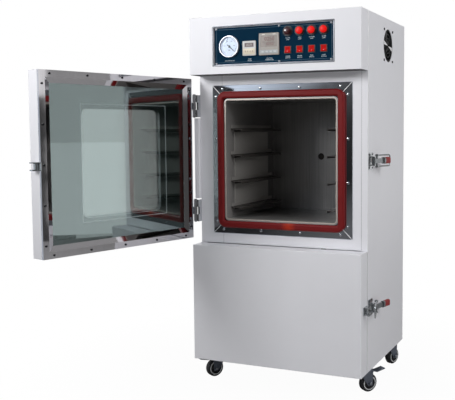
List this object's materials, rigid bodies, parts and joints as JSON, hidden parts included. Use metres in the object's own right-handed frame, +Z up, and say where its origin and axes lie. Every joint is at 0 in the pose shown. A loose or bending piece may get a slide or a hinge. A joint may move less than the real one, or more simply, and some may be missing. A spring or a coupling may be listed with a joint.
{
  "type": "vacuum drying oven",
  "caption": "Cabinet drying oven on casters with a glazed side-hung door, sealed chamber, instrument header, side fan and a latched lower bay.",
  "frame": {"origin": "on the floor, under the middle of the cabinet body's footprint", "axes": "+Z up, +Y towards the back, +X to the right seen from the front; the stored pose has the oven door open as in the picture"},
  "size_m": [0.8956, 1.1072, 1.285],
  "materials": {
    "white_paint": "semi-gloss powder coat",
    "zinc_sheet": "zinc-plated sheet",
    "chamber_steel": "satin stainless steel",
    "polished_steel": "polished stainless steel",
    "red_silicone": "moulded silicone",
    "mineral_wool": "rock wool",
    "heater_mat": "silicone heating mat",
    "pipe_steel": "stainless pipe",
    "pump_grey": "painted casting",
    "panel_blue": "satin printed panel",
    "chrome": "bright plating",
    "dial_white": "printed dial",
    "needle_black": "matt black",
    "clear_glass": "clear toughened glass",
    "module_grey": "fine-textured moulding",
    "key_grey": "silicone key",
    "lamp_red": "translucent red cap",
    "rocker_red": "translucent red rocker",
    "black_plastic": "moulded plastic",
    "caster_steel": "plated pressed steel",
    "wheel_rubber": "black rubber tyre"
  },
  "bodies": {
    "cabinet": {"cabinet_shell": "white_paint", "front_panel": "white_paint", "rear_panel": "white_paint", "inner_frame": "zinc_sheet", "chamber": "chamber_steel", "chamber_flange": "polished_steel", "gasket": "red_silicone", "shelf_rails": "chamber_steel", "vacuum_line": "pipe_steel", "insulation": "mineral_wool", "heaters": "heater_mat", "vacuum_pump": "pump_grey", "header_box": "white_paint", "control_panel": "panel_blue", "gauge_case": "chrome", "gauge_dial": "dial_white", "gauge_glass": "clear_glass", "timer_body": "module_grey", "controller_body": "module_grey", "lamp_bezels": "chrome", "lamp_lenses": "lamp_red", "switch_housings": "black_plastic", "fan_frame": "black_plastic", "fan_guard": "chrome", "cabinet_hinges": "chrome", "latch_bases": "chrome", "caster_plates": "zinc_sheet"},
    "oven_door": {"door_shell": "white_paint", "door_inner_frame": "polished_steel", "door_glass": "clear_glass", "door_catch": "chrome", "door_hinge_leaves": "chrome"},
    "bay_door": {"pump_door": "white_paint", "pump_door_keeper": "chrome"},
    "upper_lever": {"upper_latch_lever": "chrome"},
    "upper_bail": {"upper_latch_bail": "chrome"},
    "lower_lever": {"lower_latch_lever": "chrome"},
    "lower_bail": {"lower_latch_bail": "chrome"},
    "needle": {"gauge_needle": "needle_black"},
    "fan_rotor": {"fan_impeller": "black_plastic"},
    "key_1": {"controller_key_1": "key_grey"},
    "switch_1": {"rocker_1": "rocker_red"},
    "key_2": {"controller_key_2": "key_grey"},
    "switch_2": {"rocker_2": "rocker_red"},
    "key_3": {"controller_key_3": "key_grey"},
    "switch_3": {"rocker_3": "rocker_red"},
    "key_4": {"controller_key_4": "key_grey"},
    "switch_4": {"rocker_4": "rocker_red"},
    "fork_front_left": {"caster_fork_front_left": "caster_steel"},
    "wheel_front_left": {"caster_wheel_front_left": "wheel_rubber"},
    "fork_front_right": {"caster_fork_front_right": "caster_steel"},
    "wheel_front_right": {"caster_wheel_front_right": "wheel_rubber"},
    "fork_rear_left": {"caster_fork_rear_left": "caster_steel"},
    "wheel_rear_left": {"caster_wheel_rear_left": "wheel_rubber"},
    "fork_rear_right": {"caster_fork_rear_right": "caster_steel"},
    "wheel_rear_right": {"caster_wheel_rear_right": "wheel_rubber"},
    "pedal_front_left": {"caster_pedal_front_left": "caster_steel"},
    "pedal_front_right": {"caster_pedal_front_right": "caster_steel"}
  },
  "joints": [
    {"name": "oven_door_hinge", "type": "hinge", "parent": "cabinet", "child": "oven_door", "pos_m": [-0.325, -0.248, 0.8005], "axis": [0, 0, 1], "range_deg": [-50, 105.7]},
    {"name": "bay_door_hinge", "type": "hinge", "parent": "cabinet", "child": "bay_door", "pos_m": [-0.303, -0.245, 0.2945], "axis": [0, 0, 1], "range_deg": [-100, 0]},
    {"name": "upper_latch_lever_pivot", "type": "hinge", "parent": "cabinet", "child": "upper_lever", "pos_m": [0.323, -0.203, 0.797], "axis": [0, 0, 1], "range_deg": [-120, 8]},
    {"name": "upper_latch_bail_pivot", "type": "hinge", "parent": "upper_lever", "child": "upper_bail", "pos_m": [0.3275, -0.18351, 0.797], "axis": [0, 0, 1], "range_deg": [-75, 4]},
    {"name": "lower_latch_lever_pivot", "type": "hinge", "parent": "cabinet", "child": "lower_lever", "pos_m": [0.323, -0.203, 0.308], "axis": [0, 0, 1], "range_deg": [-120, 8]},
    {"name": "lower_latch_bail_pivot", "type": "hinge", "parent": "lower_lever", "child": "lower_bail", "pos_m": [0.3275, -0.18351, 0.308], "axis": [0, 0, 1], "range_deg": [-8, 120]},
    {"name": "gauge_needle_spindle", "type": "hinge", "parent": "cabinet", "child": "needle", "pos_m": [-0.15801, -0.3, 1.183], "axis": [0, -1, 0], "range_deg": [0, 265]},
    {"name": "fan_spin", "type": "hinge", "parent": "cabinet", "child": "fan_rotor", "pos_m": [0.295, 0.009, 1.193], "axis": [1, 0, 0], "continuous": true},
    {"name": "controller_key_press_1", "type": "slide", "parent": "cabinet", "child": "key_1", "axis": [0, 1, 0], "range_m": [0, 0.0008], "stiffness_N_per_m": 300},
    {"name": "rocker_tip_1", "type": "hinge", "parent": "cabinet", "child": "switch_1", "pos_m": [0.05598, -0.291, 1.163], "axis": [1, 0, 0], "range_deg": [0, 12]},
    {"name": "controller_key_press_2", "type": "slide", "parent": "cabinet", "child": "key_2", "axis": [0, 1, 0], "range_m": [0, 0.0008], "stiffness_N_per_m": 300},
    {"name": "rocker_tip_2", "type": "hinge", "parent": "cabinet", "child": "switch_2", "pos_m": [0.09797, -0.291, 1.163], "axis": [1, 0, 0], "range_deg": [0, 12]},
    {"name": "controller_key_press_3", "type": "slide", "parent": "cabinet", "child": "key_3", "axis": [0, 1, 0], "range_m": [0, 0.0008], "stiffness_N_per_m": 300},
    {"name": "rocker_tip_3", "type": "hinge", "parent": "cabinet", "child": "switch_3", "pos_m": [0.13996, -0.291, 1.163], "axis": [1, 0, 0], "range_deg": [0, 12]},
    {"name": "controller_key_press_4", "type": "slide", "parent": "cabinet", "child": "key_4", "axis": [0, 1, 0], "range_m": [0, 0.0008], "stiffness_N_per_m": 300},
    {"name": "rocker_tip_4", "type": "hinge", "parent": "cabinet", "child": "switch_4", "pos_m": [0.18194, -0.291, 1.163], "axis": [1, 0, 0], "range_deg": [0, 12]},
    {"name": "caster_swivel_front_left", "type": "hinge", "parent": "cabinet", "child": "fork_front_left", "pos_m": [-0.265, -0.169, 0.084], "axis": [0, 0, 1], "continuous": true},
    {"name": "caster_roll_front_left", "type": "hinge", "parent": "fork_front_left", "child": "wheel_front_left", "pos_m": [-0.28393, -0.19603, 0.0315], "axis": [0.8192, -0.5736, 0], "continuous": true},
    {"name": "caster_swivel_front_right", "type": "hinge", "parent": "cabinet", "child": "fork_front_right", "pos_m": [0.265, -0.169, 0.084], "axis": [0, 0, 1], "continuous": true},
    {"name": "caster_roll_front_right", "type": "hinge", "parent": "fork_front_right", "child": "wheel_front_right", "pos_m": [0.28621, -0.14372, 0.0315], "axis": [-0.766, 0.6428, 0], "continuous": true},
    {"name": "caster_swivel_rear_left", "type": "hinge", "parent": "cabinet", "child": "fork_rear_left", "pos_m": [-0.265, 0.169, 0.084], "axis": [0, 0, 1], "continuous": true},
    {"name": "caster_roll_rear_left", "type": "hinge", "parent": "fork_rear_left", "child": "wheel_rear_left", "pos_m": [-0.27629, 0.20001, 0.0315], "axis": [-0.9397, -0.342, 0], "continuous": true},
    {"name": "caster_swivel_rear_right", "type": "hinge", "parent": "cabinet", "child": "fork_rear_right", "pos_m": [0.265, 0.169, 0.084], "axis": [0, 0, 1], "continuous": true},
    {"name": "caster_roll_rear_right", "type": "hinge", "parent": "fork_rear_right", "child": "wheel_rear_right", "pos_m": [0.27629, 0.20001, 0.0315], "axis": [-0.9397, 0.342, 0], "continuous": true},
    {"name": "caster_brake_front_left", "type": "hinge", "parent": "fork_front_left", "child": "pedal_front_left", "pos_m": [-0.28737, -0.20095, 0.07], "axis": [0.8192, -0.5736, 0], "range_deg": [0, 8]},
    {"name": "caster_brake_front_right", "type": "hinge", "parent": "fork_front_right", "child": "pedal_front_right", "pos_m": [0.29007, -0.13912, 0.07], "axis": [-0.766, 0.6428, 0], "range_deg": [0, 8]}
  ],
  "couplings": [
    {"joint": "lower_latch_bail_pivot", "follows": "lower_latch_lever_pivot", "ratio": -1}
  ]
}
